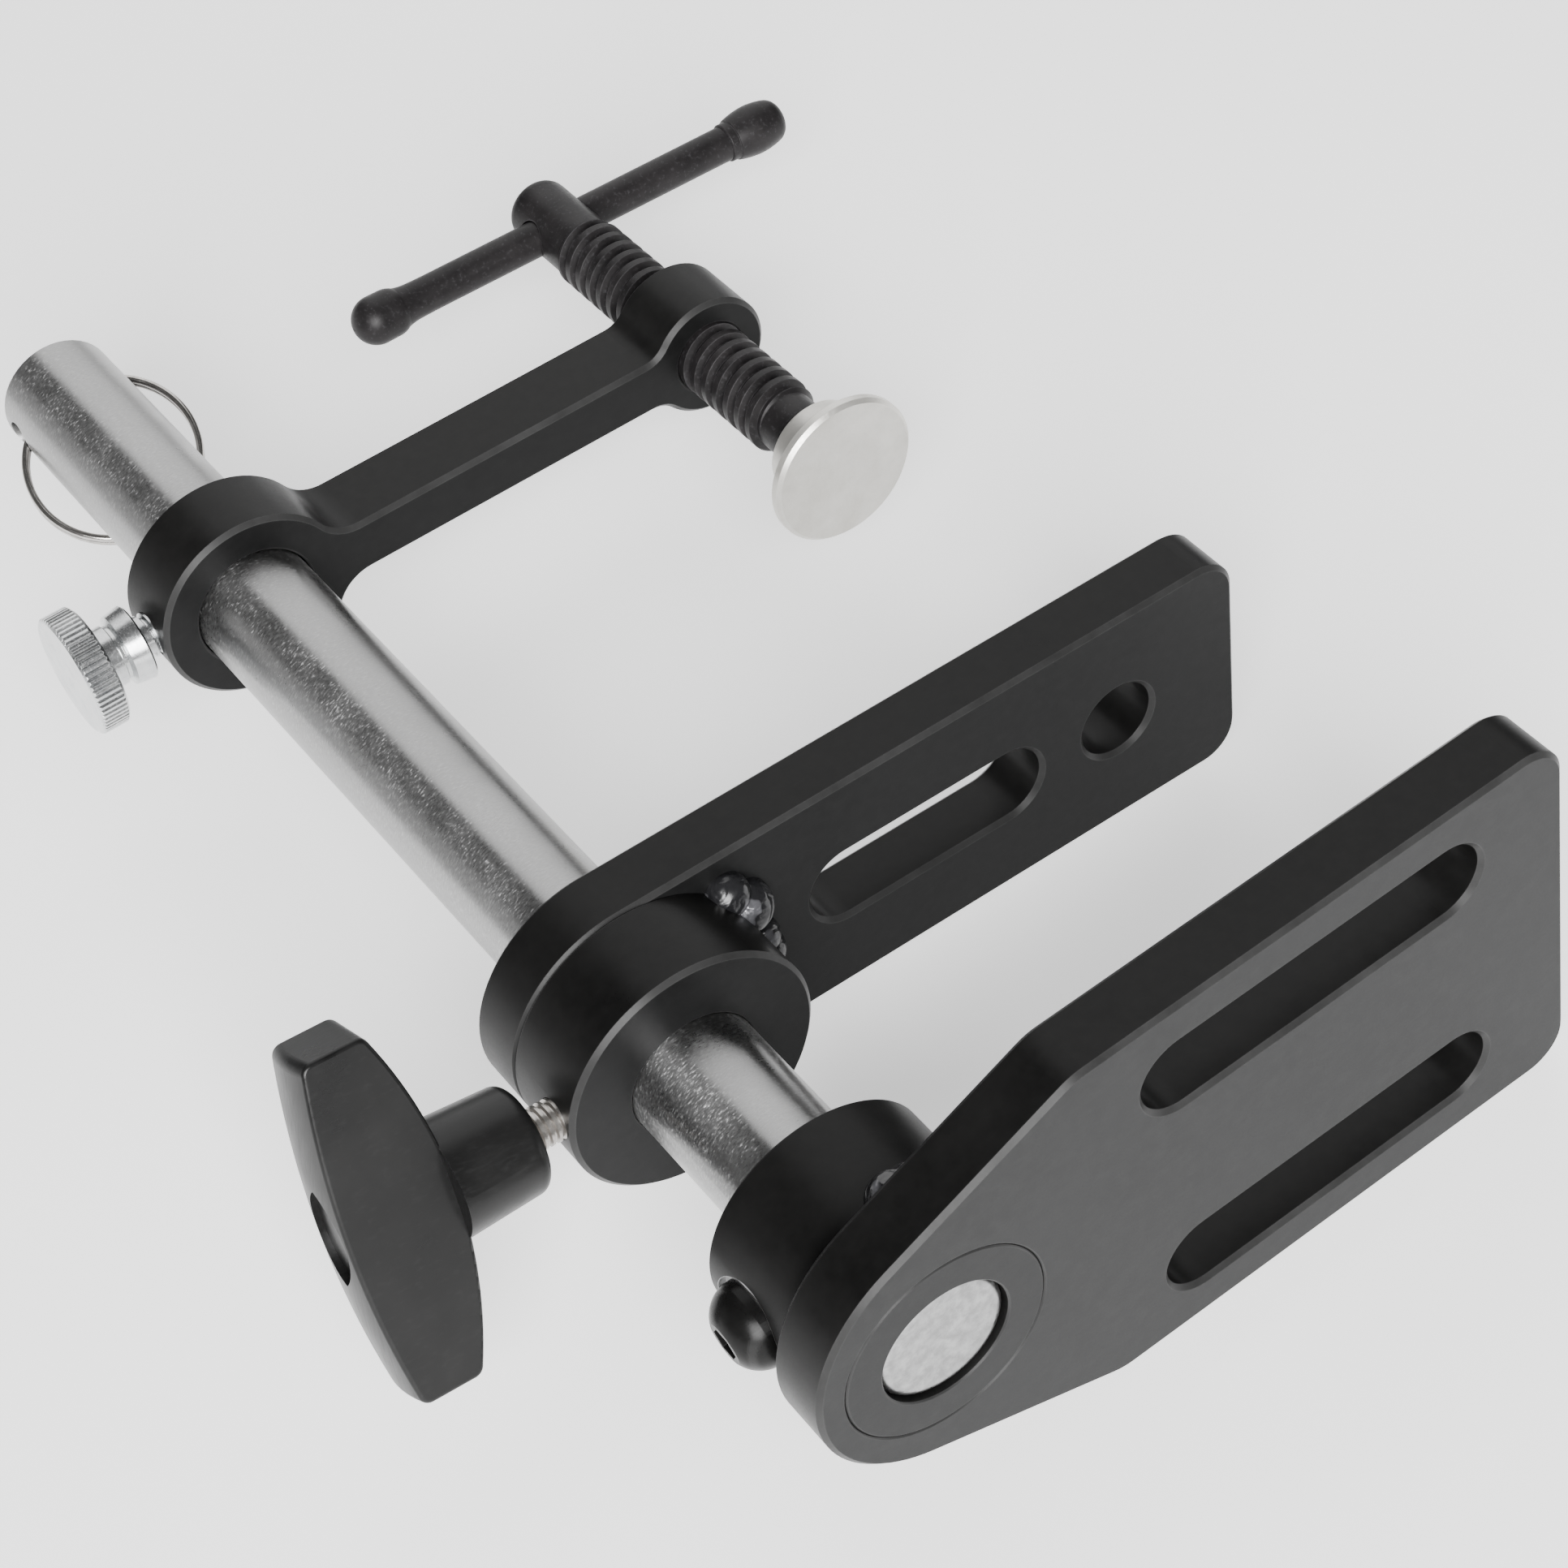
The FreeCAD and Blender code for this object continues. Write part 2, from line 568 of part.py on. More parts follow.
end_collar = new_body("end_jaw_collar", about_x(lock_screw_turn.value))
turned(
    end_collar,
    [
        (plate_face_x - bore_break, fixed_bore_radius),
        (plate_face_x, fixed_bore_radius + bore_break),
        (plate_face_x, spigot_radius - bore_break),
        (plate_face_x - bore_break, spigot_radius),
        (plate_back_x, spigot_radius),
        (plate_back_x, end_collar_radius),
        (end_collar_back_x + bore_break, end_collar_radius),
        (end_collar_back_x, end_collar_radius - bore_break),
        (end_collar_back_x, fixed_bore_radius + bore_break),
        (end_collar_back_x + bore_break, fixed_bore_radius),
    ],
)
hole = new_sketch(end_collar, "XZ_Plane")
circle(hole, lock_screw_x, 0, lock_shank_radius + 0.2)
cut(end_collar, hole, end_collar_radius * 1.5, back=True)
hole = new_sketch(end_collar, "XZ_Plane", lift=lock_seat)
circle(hole, lock_screw_x, 0, lock_seat_radius)
cut(end_collar, hole, 6, back=True)

lock_screw = new_body("end_jaw_screw", outward(lock_screw_x, lock_screw_turn.value))
turned(
    lock_screw,
    [
        (lock_shank_in, 0),
        (lock_shank_in, lock_shank_radius - 0.8),
        (lock_shank_in + 0.8, lock_shank_radius),
        (lock_seat, lock_shank_radius),
        (lock_seat, lock_head_radius),
        (lock_seat + lock_head_side, lock_head_radius, 6.6, 1),
        (lock_seat + lock_head_height, lock_head_flat),
        (lock_seat + lock_head_height, 0),
    ],
)
socket = new_sketch(lock_screw, "YZ_Plane", lift=lock_seat + lock_head_height)
hexagon = [
    (
        lock_socket_radius * math.cos(math.radians(60 * i)),
        lock_socket_radius * math.sin(math.radians(60 * i)),
    )
    for i in range(6)
]
outline(socket, hexagon)
cut(lock_screw, socket, lock_socket_depth)


# --------------------------------------------------------------- weld beads
def weld(name, plate_x, collar, start, end, size, away, turn):
    """Rippled fillet bead where a collar meets its plate. away is +1 when
    the collar leaves the plate face toward +X."""
    beads = []
    steps = max(int((end - start) / 7.0), 1)
    for i in range(steps + 1):
        angle = math.radians(start + (end - start) * i / steps)
        bead = doc.addObject("Part::Sphere", name + "_ripple")
        swell = size * (1.0 + 0.12 * math.cos(2.4 * i + start))
        bead.Radius = swell
        reach = collar.value + 0.25 * size
        bead.Placement = FreeCAD.Placement(
            V(
                plate_x + 0.15 * size * away,
                reach * math.cos(angle),
                reach * math.sin(angle),
            ),
            FreeCAD.Rotation(),
        )
        beads.append(bead)
    lump = doc.addObject("Part::MultiFuse", name + "_lump")
    lump.Shapes = beads
    core = doc.addObject("Part::Cylinder", name + "_collar_space")
    core.Radius = collar.value
    core.setExpression("Radius", collar.text)
    core.Height = 40
    core.Placement = FreeCAD.Placement(
        V(plate_x - 20, 0, 0), FreeCAD.Rotation(V(0, 1, 0), 90)
    )
    first = doc.addObject("Part::Cut", name + "_off_collar")
    first.Base = lump
    first.Tool = core
    block = doc.addObject("Part::Box", name + "_plate_space")
    block.Length = 10
    block.Width = 120
    block.Height = 120
    corner_x = plate_x - 10 if away > 0 else plate_x
    block.Placement = FreeCAD.Placement(V(corner_x, -60, -60), FreeCAD.Rotation())
    bead = doc.addObject("Part::Cut", name)
    bead.Label = name
    bead.Base = first
    bead.Tool = block
    bead.Placement = about_x(turn)
    doc.recompute()
    return bead


end_weld = weld(
    "end_jaw_weld", plate_back_x.value, end_collar_radius, 74, 82, 4.6, -1, 0
)

# ----------------------------------------------------------- the middle jaw
middle_plate = new_body("middle_jaw_plate", about_x(middle_turn.value))
shape = new_sketch(middle_plate, "YZ_Plane", lift=middle_face_x)
ring = Part.Circle(V(0, 0, 0), V(0, 0, 1), middle_half_width.value)
half = math.pi / 2
nose = shape.addGeometry(Part.ArcOfCircle(ring, half, 3 * half), False)
R, M = middle_half_width.value, middle_reach.value
corners = [V(0, R, 0), V(M, R, 0), V(M, -R, 0), V(0, -R, 0)]
sides = [
    shape.addGeometry(Part.LineSegment(corners[i], corners[i + 1]), False)
    for i in range(3)
]
shape.addConstraint(Sketcher.Constraint("Coincident", sides[0], 2, sides[1], 1))
shape.addConstraint(Sketcher.Constraint("Coincident", sides[1], 2, sides[2], 1))
shape.addConstraint(Sketcher.Constraint("Tangent", nose, 1, sides[0], 1))
shape.addConstraint(Sketcher.Constraint("Tangent", nose, 2, sides[2], 2))
shape.addConstraint(Sketcher.Constraint("Coincident", nose, 3, -1, 1))
shape.addConstraint(Sketcher.Constraint("Horizontal", sides[0]))
shape.addConstraint(Sketcher.Constraint("Horizontal", sides[2]))
shape.addConstraint(Sketcher.Constraint("Vertical", sides[1]))
size_arc(shape, nose, middle_half_width)
hold(shape, "DistanceX", sides[1], 1, middle_reach)
pad(middle_plate, shape, plate_thick, back=True)
dress(
    middle_plate,
    "Fillet",
    lambda e: along_x(e, M, R) or along_x(e, M, -R),
    middle_corner_radius,
)
shape = new_sketch(middle_plate, "YZ_Plane", lift=middle_face_x)
slot(shape, middle_slot_near_y, middle_slot_far_y, 0, slot_radius)
cut(middle_plate, shape, plate_thick * 1.2)
shape = new_sketch(middle_plate, "YZ_Plane", lift=middle_face_x)
circle(shape, middle_hole_y, 0, slot_radius)
cut(middle_plate, shape, plate_thick * 1.2)
middle_back_x = middle_face_x - plate_thick
dress(
    middle_plate,
    "Chamfer",
    lambda e: in_plane_x(e, middle_face_x.value) or in_plane_x(e, middle_back_x.value),
    edge_chamfer,
)
shape = new_sketch(middle_plate, "YZ_Plane", lift=middle_face_x)
circle(shape, 0, 0, spigot_radius + spigot_gap)
cut(middle_plate, shape, plate_thick * 1.2)

middle_collar = new_body("middle_jaw_collar", about_x(knob_turn.value))
turned(
    middle_collar,
    [
        (middle_back_x + bore_break, sliding_bore_radius),
        (middle_back_x, sliding_bore_radius + bore_break),
        (middle_back_x, spigot_radius - bore_break),
        (middle_back_x + bore_break, spigot_radius),
        (middle_face_x, spigot_radius),
        (middle_face_x, middle_collar_radius - bore_break),
        (middle_face_x + bore_break, middle_collar_radius),
        (middle_collar_front_x - edge_chamfer, middle_collar_radius),
        (middle_collar_front_x, middle_collar_radius - edge_chamfer),
        (middle_collar_front_x, sliding_bore_radius + bore_break),
        (middle_collar_front_x - bore_break, sliding_bore_radius),
    ],
)
hole = new_sketch(middle_collar, "XZ_Plane")
circle(hole, knob_x, 0, stud_radius + 0.08)
cut(middle_collar, hole, middle_collar_radius * 1.5, back=True)

upper_weld = weld(
    "middle_jaw_weld_upper",
    middle_face_x.value,
    middle_collar_radius,
    25,
    38,
    4.9,
    1,
    middle_turn.value,
)
lower_weld = weld(
    "middle_jaw_weld_lower",
    middle_face_x.value,
    middle_collar_radius,
    -5,
    3,
    4.3,
    1,
    middle_turn.value,
)

# ------------------------------------------------------------------ the knob
knob_place = outward(knob_x, knob_turn.value, wing_tilt.value)
stud = new_body("knob_stud", knob_place)
turned(
    stud,
    [
        (stud_end + 3.5, 0),
        (stud_end + 3.5, tip_pin_radius + 0.08),
        (stud_end, tip_pin_radius + 0.08),
        (stud_end, stud_radius - 0.7),
        (stud_end + 0.7, stud_radius),
        (stud_out, stud_radius),
        (stud_out, 0),
    ],
)
thread(
    stud,
    [
        (stud_end - stud_pitch, stud_radius + 0.4),
        (stud_end - stud_pitch * 0.1, stud_radius + 0.4),
        (stud_end - stud_pitch * 0.45, stud_radius - stud_thread_depth),
        (stud_end - stud_pitch * 0.65, stud_radius - stud_thread_depth),
    ],
    stud_pitch,
    hub_start - stud_end,
)

tip = new_body("knob_tip", knob_place)
turned(
    tip,
    [
        (rod_radius + tip_gap, 0),
        (rod_radius + tip_gap, 2.6),
        (rod_radius + tip_gap + 0.4, 3.0),
        (stud_end - 0.3, 3.0),
        (stud_end - 0.3, tip_pin_radius),
        (stud_end + 3.1, tip_pin_radius),
        (stud_end + 3.1, 0),
    ],
)

grip = new_body("knob_grip", knob_place)
wing = new_sketch(grip, "XZ_Plane")
half_chord = wing_half_length.value
outer_rise = (wing_outer_mid - wing_outer_end).value
inner_rise = (wing_inner_end - wing_inner_mid).value
outer_radius = (half_chord**2 + outer_rise**2) / (2 * outer_rise)
inner_radius = (half_chord**2 + inner_rise**2) / (2 * inner_rise)
outline(
    wing,
    [
        (wing_outer_end, wing_half_length, outer_radius, 1),
        (wing_outer_end, -wing_half_length),
        (wing_inner_end, -wing_half_length, inner_radius, 1),
        (wing_inner_end, wing_half_length),
    ],
)
pad(grip, wing, wing_half_thick * 2, both=True)
# the outer face is crowned across the wing as well as along it
crown = new_sketch(grip, "XZ_Plane", shift=wing_outer_mid - crown_radius)
outline(
    crown,
    [
        (crown_radius - outer_rise, wing_half_length, outer_radius, 1),
        (crown_radius - outer_rise, -wing_half_length),
        (crown_radius - outer_rise, -wing_half_length - 3),
        (crown_radius + 9, -wing_half_length - 3),
        (crown_radius + 9, wing_half_length + 3),
        (crown_radius - outer_rise, wing_half_length + 3),
    ],
)
before = grip.Shape.Volume
crowning = grip.newObject("PartDesign::Groove", "knob_grip_crown")
crowning.Profile = crown
crowning.ReferenceAxis = (crown, ["V_Axis"])
crowning.Angle = 360
crown.Visibility = False
doc.recompute()
if grip.Shape.Volume > before - 1:
    raise RuntimeError("the crown cut nothing")


def wing_corner(edge):
    return edge.BoundBox.YLength > 2 and edge.BoundBox.ZLength < 0.1


def wing_rim(edge):
    y = abs(middle_of(edge).y)
    return abs(y - wing_half_thick.value) < 0.05 and edge.BoundBox.YLength < 0.1


dress(grip, "Fillet", wing_corner, wing_corner_radius)
dress(grip, "Fillet", wing_rim, wing_rounding)
turned(
    grip,
    [
        (hub_start, stud_radius),
        (hub_start, hub_radius - hub_rounding, hub_rounding, 1),
        (hub_start + hub_rounding, hub_radius),
        (hub_end, hub_root_radius),
        (hub_end, 0),
        (stud_out, 0),
        (stud_out, stud_radius),
    ],
)
# lens shaped recess in the middle of the outer face
dish = new_sketch(grip, "YZ_Plane", lift=wing_outer_mid - dish_depth)
lens_radius = (dish_half_length.value**2 + dish_half_width.value**2) / (
    2 * dish_half_width.value
)
outline(
    dish,
    [
        (0, dish_half_length, lens_radius, 1),
        (0, -dish_half_length, lens_radius, 1),
    ],
)
cut(grip, dish, 5, back=True)

# -------------------------------------------------------------- the screw arm
arm = new_body("screw_arm", about_x(arm_turn.value))
shape = new_sketch(arm, "YZ_Plane", lift=arm_face_x)
circle(shape, 0, 0, arm_ring_radius)
pad(arm, shape, arm_thick, back=True)
shape = new_sketch(arm, "YZ_Plane", lift=arm_face_x)
outline(
    shape,
    [
        (5, arm_half_height),
        (arm_boss_y, arm_half_height),
        (arm_boss_y, -arm_half_height),
        (5, -arm_half_height),
    ],
)
pad(arm, shape, arm_thick, back=True)
shape = new_sketch(arm, "YZ_Plane", lift=arm_face_x)
circle(shape, arm_boss_y, 0, arm_boss_radius)
pad(arm, shape, arm_thick, back=True)
ring_join = math.sqrt(arm_ring_radius.value**2 - arm_half_height.value**2)
boss_join = arm_boss_y.value - math.sqrt(
    arm_boss_radius.value**2 - arm_half_height.value**2
)
h = arm_half_height.value
dress(
    arm,
    "Fillet",
    lambda e: along_x(e, ring_join, h) or along_x(e, ring_join, -h),
    arm_ring_blend,
)
dress(
    arm,
    "Fillet",
    lambda e: along_x(e, boss_join, h) or along_x(e, boss_join, -h),
    arm_boss_blend,
)
arm_back_x = arm_face_x - arm_thick
dress(
    arm,
    "Chamfer",
    lambda e: in_plane_x(e, arm_face_x.value) or in_plane_x(e, arm_back_x.value),
    arm_chamfer,
)
shape = new_sketch(arm, "YZ_Plane", lift=arm_face_x)
circle(shape, 0, 0, arm_bore_radius)
cut(arm, shape, arm_thick * 1.2)
shape = new_sketch(arm, "YZ_Plane", lift=arm_face_x)
circle(shape, arm_boss_y, 0, arm_boss_bore)
cut(arm, shape, arm_thick * 1.2)


def bore_mouth(edge):
    at = middle_of(edge)
    on_rod = abs(math.hypot(at.y, at.z) - arm_bore_radius.value) < 0.05
    on_boss = math.hypot(at.y - arm_boss_y.value, at.z) - arm_boss_bore.value
    on_face = in_plane_x(edge, arm_face_x.value) or in_plane_x(edge, arm_back_x.value)
    return on_face and (on_rod or abs(on_boss) < 0.05)


dress(arm, "Chamfer", bore_mouth, dim("arm_bore_chamfer", 0.4, "bore mouth chamfer"))
hole = new_sketch(arm, "XZ_Plane")
circle(hole, thumb_x, 0, thumb_radius + 0.08)
cut(arm, hole, arm_ring_radius * 1.5, back=True)

# ----------------------------------------------------------- the thumb screw
thumb_place = outward(thumb_x, arm_turn.value)
thumb = new_body("thumb_screw", thumb_place)
turned(
    thumb,
    [
        (stud_end + 3.5, 0),
        (stud_end + 3.5, tip_pin_radius + 0.08),
        (stud_end, tip_pin_radius + 0.08),
        (stud_end, thumb_radius - 0.8),
        (stud_end + 0.8, thumb_radius),
        (thumb_flange_in, thumb_radius),
        (thumb_flange_in, thumb_flange_radius - 0.4),
        (thumb_flange_in + 0.4, thumb_flange_radius),
        (thumb_flange_out, thumb_flange_radius - 0.6),
        (thumb_flange_out + 0.5, thumb_neck_radius - 0.5),
        (thumb_flange_out + 1.2, thumb_neck_radius - 0.5),
        (thumb_flange_out + 1.5, thumb_neck_radius),
        (thumb_head_in, thumb_neck_radius),
        (thumb_head_in, thumb_head_radius - 0.9),
        (thumb_head_in + 0.7, thumb_head_radius),
        (thumb_head_out - 0.5, thumb_head_radius),
        (thumb_head_out, thumb_head_radius - 0.6),
        (thumb_head_out, 0),
    ],
)
thread(
    thumb,
    [
        (stud_end - thumb_pitch, thumb_radius + 0.4),
        (stud_end - thumb_pitch * 0.1, thumb_radius + 0.4),
        (stud_end - thumb_pitch * 0.45, thumb_radius - 0.8),
        (stud_end - thumb_pitch * 0.65, thumb_radius - 0.8),
    ],
    thumb_pitch,
    thumb_flange_in - stud_end - 0.3,
)
# straight knurl round the head
knurl = new_sketch(thumb, "YZ_Plane", lift=thumb_head_in - 1)
outline(
    knurl,
    [
        (thumb_head_radius - knurl_depth, 0),
        (thumb_head_radius + 0.5, 0.75),
        (thumb_head_radius + 0.5, -0.75),
    ],
)
first_groove = cut(thumb, knurl, thumb_head_out - thumb_head_in + 2, back=True)
around = thumb.newObject("PartDesign::PolarPattern", "knurl_pattern")
around.Originals = [first_groove]
around.Axis = (knurl, ["N_Axis"])
around.Angle = 360
around.Occurrences = knurl_count
thumb.Tip = around
doc.recompute()

thumb_tip = new_body("thumb_screw_tip", thumb_place)
turned(
    thumb_tip,
    [
        (rod_radius + tip_gap, 0),
        (rod_radius + tip_gap, 3.0),
        (rod_radius + tip_gap + 0.4, 3.4),
        (stud_end - 0.3, 3.4),
        (stud_end - 0.3, tip_pin_radius),
        (stud_end + 3.1, tip_pin_radius),
        (stud_end + 3.1, 0),
    ],
)

# --------------------------------------------------------------- the spindle
turn_bar = FreeCAD.Placement(
    V(0, 0, 0), FreeCAD.Rotation(V(1, 0, 0), arm_turn.value)
).multiply(
    FreeCAD.Placement(
        V(0, arm_boss_y.value, 0), FreeCAD.Rotation(V(1, 0, 0), bar_turn.value)
    )
)
spindle = new_body("clamp_spindle", turn_bar)
waist_x = ball_x - math.sqrt(ball_radius.value**2 - spindle_waist_radius.value**2)
turned(
    spindle,
    [
        (spindle_head_x, 0),
        (spindle_head_x, spindle_head_radius - spindle_dome, spindle_dome, 1),
        (spindle_head_x + spindle_dome, spindle_head_radius),
        (spindle_thread_back_x - 0.9, spindle_head_radius),
        (spindle_thread_back_x, spindle_thread_radius),
        (spindle_thread_front_x - 1.6, spindle_thread_radius),
        (spindle_thread_front_x, spindle_neck_radius),
        (spindle_neck_x - 1, spindle_neck_radius),
        (spindle_neck_x, spindle_neck_radius - 1),
        (spindle_neck_x, spindle_waist_radius),
        (waist_x, spindle_waist_radius, ball_radius, 1),
        (ball_x, ball_radius, ball_radius, 1),
        (ball_x + ball_radius, 0),
    ],
)
p = spindle_pitch
thread(
    spindle,
    [
        (spindle_thread_back_x - p * 0.36, spindle_thread_radius + 0.5),
        (spindle_thread_back_x + p * 0.36, spindle_thread_radius + 0.5),
        (spindle_thread_back_x + p * 0.13, spindle_thread_radius - thread_depth),
        (spindle_thread_back_x - p * 0.13, spindle_thread_radius - thread_depth),
    ],
    spindle_pitch,
    spindle_thread_front_x - spindle_thread_back_x,
)
hole = new_sketch(spindle, "XZ_Plane")
circle(hole, bar_x, 0, bar_hole_radius)
cut(spindle, hole, 40, both=True)

# ------------------------------------------------------------ the tommy bar
bar_place = turn_bar.multiply(
    FreeCAD.Placement(V(bar_x.value, 0, 0), FreeCAD.Rotation(V(0, 0, 1), 90))
)
bar = new_body("tommy_bar", bar_place)
turned(
    bar,
    [
        (bar_ball_at - bar_ball_radius, 0, bar_ball_radius, 1),
        (bar_ball_at, bar_ball_radius),
        (bar_ball_at + 3.2, bar_ball_radius - 0.05, 5, 1),
        (bar_ball_at + 6, bar_radius + 0.6, 14, -1),
        (bar_ball_at + 9.7, bar_radius + 0.08),
        (bar_ball_at + 14, bar_radius),
        (cap_end - 3, bar_radius),
        (cap_end - 3, 0),
    ],
)
cap = new_body("tommy_bar_cap", bar_place)
turned(
    cap,
    [
        (cap_start, bar_radius + 0.02),
        (cap_start, cap_lip_radius - 0.2),
        (cap_start + 0.2, cap_lip_radius),
        (cap_step, cap_lip_radius + 0.05),
        (cap_step + 0.1, cap_step_radius, 22, 1),
        (cap_wide_at, cap_radius, 18, 1),
        (cap_edge_at, cap_edge_radius, 3.4, 1),
        (cap_end, cap_flat_radius),
        (cap_end, 0),
        (cap_end - 2.98, 0),
        (cap_end - 2.98, bar_radius + 0.02),
    ],
)

# ------------------------------------------------------------------- the pad
swivel_pad = new_body("swivel_pad", turn_bar)
turned(
    swivel_pad,
    [
        (pad_hub_x + 0.2, pad_mouth_radius),
        (pad_hub_x, pad_mouth_radius + 0.2),
        (pad_hub_x, pad_hub_mouth - 0.6),
        (pad_hub_x + 0.6, pad_hub_mouth),
        (pad_rim_x - 1, pad_hub_root),
        (pad_rim_x, pad_hub_root + 1.2),
        (pad_rim_x, pad_radius - 0.4),
        (pad_rim_x + 0.4, pad_radius),
        (pad_face_x - 0.8, pad_radius),
        (pad_face_x, pad_radius - 0.8),
        (pad_face_x, 0),
        (ball_x + pad_socket_radius, 0, pad_socket_radius, -1),
        (ball_x, pad_socket_radius),
        (snap_x + snap_groove_half, pad_socket_radius),
        (snap_x + snap_groove_half, snap_groove_radius),
        (snap_x - snap_groove_half, snap_groove_radius),
        (snap_x - snap_groove_half, pad_mouth_radius),
    ],
)

# retaining ring: an open loop of round wire in the pad's groove
snap = doc.addObject("Part::Torus", "pad_snap_ring")
snap.Label = "pad_snap_ring"
snap.Radius1 = snap_ring_radius.value
snap.Radius2 = snap_wire_radius.value
snap.setExpression("Radius1", snap_ring_radius.text)
snap.setExpression("Radius2", snap_wire_radius.text)
snap.Angle3 = 325
snap.Placement = turn_bar.multiply(
    FreeCAD.Placement(V(snap_x.value, 0, 0), FreeCAD.Rotation(V(0, 1, 0), 90))
)
doc.recompute()

# ------------------------------------------------------------ the split ring
# Two flat turns of round wire side by side, joined by a short step; only a
# swept wire describes it, so it is a plain Part feature.
wire_r = split_wire_radius.value
loop_r = split_ring_radius.value
side = wire_r + 0.03
step = math.radians(18)


def on_loop(angle, height):
    return V(loop_r * math.cos(angle), loop_r * math.sin(angle), height)


first_turn = Part.Arc(
    on_loop(step, -side),
    on_loop(math.pi, -side),
    on_loop(2 * math.pi - step, -side),
)
second_turn = Part.Arc(
    on_loop(step, side),
    on_loop(math.pi, side),
    on_loop(2 * math.pi - step, side),
)
crossing = Part.BSplineCurve()
crossing.interpolate(
    Points=[on_loop(2 * math.pi - step, -side), on_loop(0, 0), on_loop(step, side)],
    InitialTangent=V(math.sin(step), math.cos(step), 0) * 6,
    FinalTangent=V(-math.sin(step), math.cos(step), 0) * 6,
)
path = Part.Wire([first_turn.toShape(), crossing.toShape(), second_turn.toShape()])
start = on_loop(step, -side)
along = V(-math.sin(step), math.cos(step), 0)
section = Part.Wire([Part.Circle(start, along, wire_r).toShape()])
coil = path.makePipeShell([section], True, False)
split_ring = doc.addObject("Part::Feature", "split_ring")
split_ring.Label = "split_ring"
split_ring.Shape = coil
# local X points from the loop centre away from the hole, local Y along the hole
hang = FreeCAD.Rotation(V(0, 1, 0), -split_ring_tilt.value)
turn = FreeCAD.Rotation(V(1, 0, 0), ring_hole_turn.value)
# the loop's middle depth inside the rod sits on the hole's own axis
depth = loop_r - math.sqrt(loop_r**2 - rod_radius.value**2)
centre = turn.multVec(hang.multVec(V(loop_r - depth / 2, 0, 0)))
split_ring.Placement = FreeCAD.Placement(
    V(ring_hole_x.value, 0, 0) + centre, turn.multiply(hang)
)
doc.recompute()

# ---------------------------------------------------------- check and export
nodes = [
    rod,
    end_plate,
    end_collar,
    lock_screw,
    end_weld,
    middle_plate,
    middle_collar,
    upper_weld,
    lower_weld,
    stud,
    tip,
    grip,
    arm,
    thumb,
    thumb_tip,
    spindle,
    bar,
    cap,
    swivel_pad,
    snap,
    split_ring,
]
for item in doc.Objects:
    if "Invalid" in item.State or "Error" in item.State:
        raise RuntimeError("%s is in a bad state: %s" % (item.Label, item.State))
os.makedirs("parts", exist_ok=True)
for node in nodes:
    if node.Shape.isNull() or not node.Shape.isValid():
        raise RuntimeError("%s has no valid shape" % node.Label)
    node.Shape.exportStep("parts/%s.step" % node.Label)
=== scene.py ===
import math

import bpy
from mathutils import Matrix, Vector


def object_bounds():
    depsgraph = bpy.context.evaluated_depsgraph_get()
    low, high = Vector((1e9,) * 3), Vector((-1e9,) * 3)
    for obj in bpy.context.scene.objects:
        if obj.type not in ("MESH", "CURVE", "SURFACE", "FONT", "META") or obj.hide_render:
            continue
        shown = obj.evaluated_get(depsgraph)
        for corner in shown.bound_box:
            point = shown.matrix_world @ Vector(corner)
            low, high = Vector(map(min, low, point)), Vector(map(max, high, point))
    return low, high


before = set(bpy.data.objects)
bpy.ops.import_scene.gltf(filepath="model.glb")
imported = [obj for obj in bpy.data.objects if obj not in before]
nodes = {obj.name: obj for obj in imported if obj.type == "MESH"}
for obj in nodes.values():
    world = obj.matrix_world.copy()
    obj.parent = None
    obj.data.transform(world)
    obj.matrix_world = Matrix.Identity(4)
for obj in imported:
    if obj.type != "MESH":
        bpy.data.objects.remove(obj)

# Super clamp: a steel rod with black jaw plates, a T-knob, a sliding screw
# arm with a swivel pad, and a split ring. All lengths are in metres.

bounds_at_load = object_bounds()


